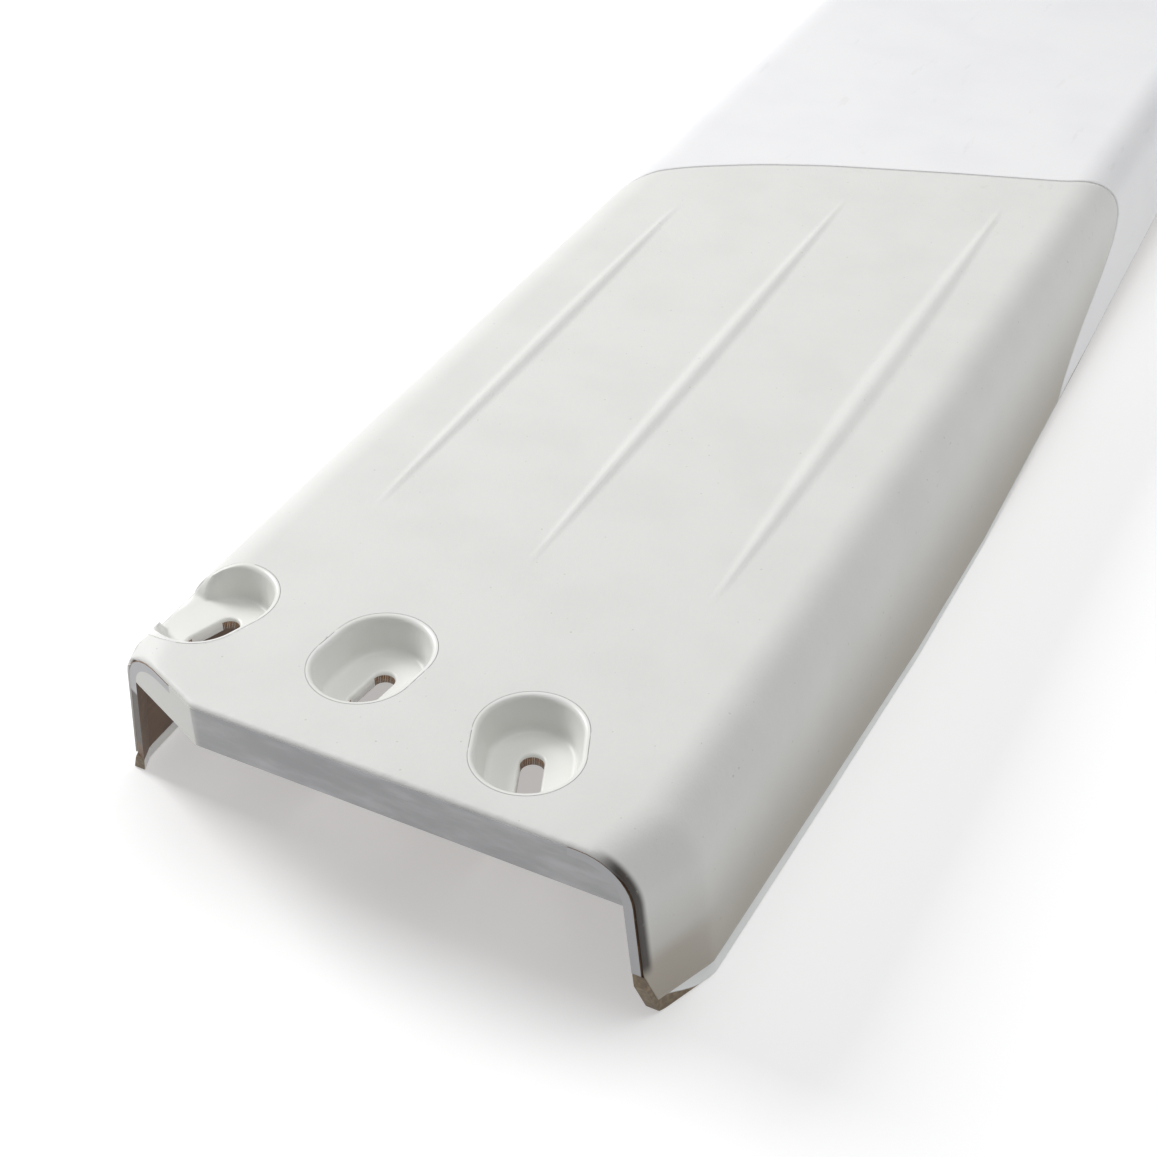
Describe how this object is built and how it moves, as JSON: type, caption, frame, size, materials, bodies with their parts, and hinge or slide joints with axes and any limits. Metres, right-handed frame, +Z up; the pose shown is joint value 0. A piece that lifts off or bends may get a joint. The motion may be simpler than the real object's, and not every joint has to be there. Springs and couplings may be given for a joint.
{
  "type": "diving board",
  "caption": "Deep-channel diving board with a flat ribbed tread, rounded shoulders, long side skirts and recessed bolt pockets with slots at the mounting end.",
  "frame": {"origin": "under the middle of the board, level with the lowest edge of its skirts", "axes": "+Y along the board to its tip, +X to the right of a diver who faces the water, +Z up out of the tread"},
  "size_m": [0.5066, 1.829, 0.141],
  "materials": {
    "tread": "moulded white acrylic skin with a fine pebble texture",
    "front_skin": "smooth white acrylic skin, satin",
    "laminate": "raw brown glass laminate",
    "pad": "moulded rubber pad",
    "block": "sawn hardwood",
    "timber": "sawn softwood",
    "end_plate": "smooth moulded grey-white plate",
    "cup": "smooth moulded white cup",
    "band": "smooth pale edge band"
  },
  "bodies": {
    "root": {"bolt_block": "block", "corner_plate": "end_plate", "deck_laminate": "laminate", "edge_band_left": "band", "edge_band_right": "band", "front_skin": "front_skin", "fulcrum_pad": "pad", "lower_laminate": "laminate", "nose_rail": "laminate", "pocket_cup_1": "cup", "pocket_cup_2": "cup", "pocket_cup_3": "cup", "rear_plate": "end_plate", "side_rail_left": "laminate", "side_rail_right": "laminate", "stringer_1": "timber", "stringer_2": "timber", "stringer_3": "timber", "stringer_4": "timber", "stringer_5": "timber", "tip_block": "block", "tread_skin": "tread"}
  },
  "joints": []
}
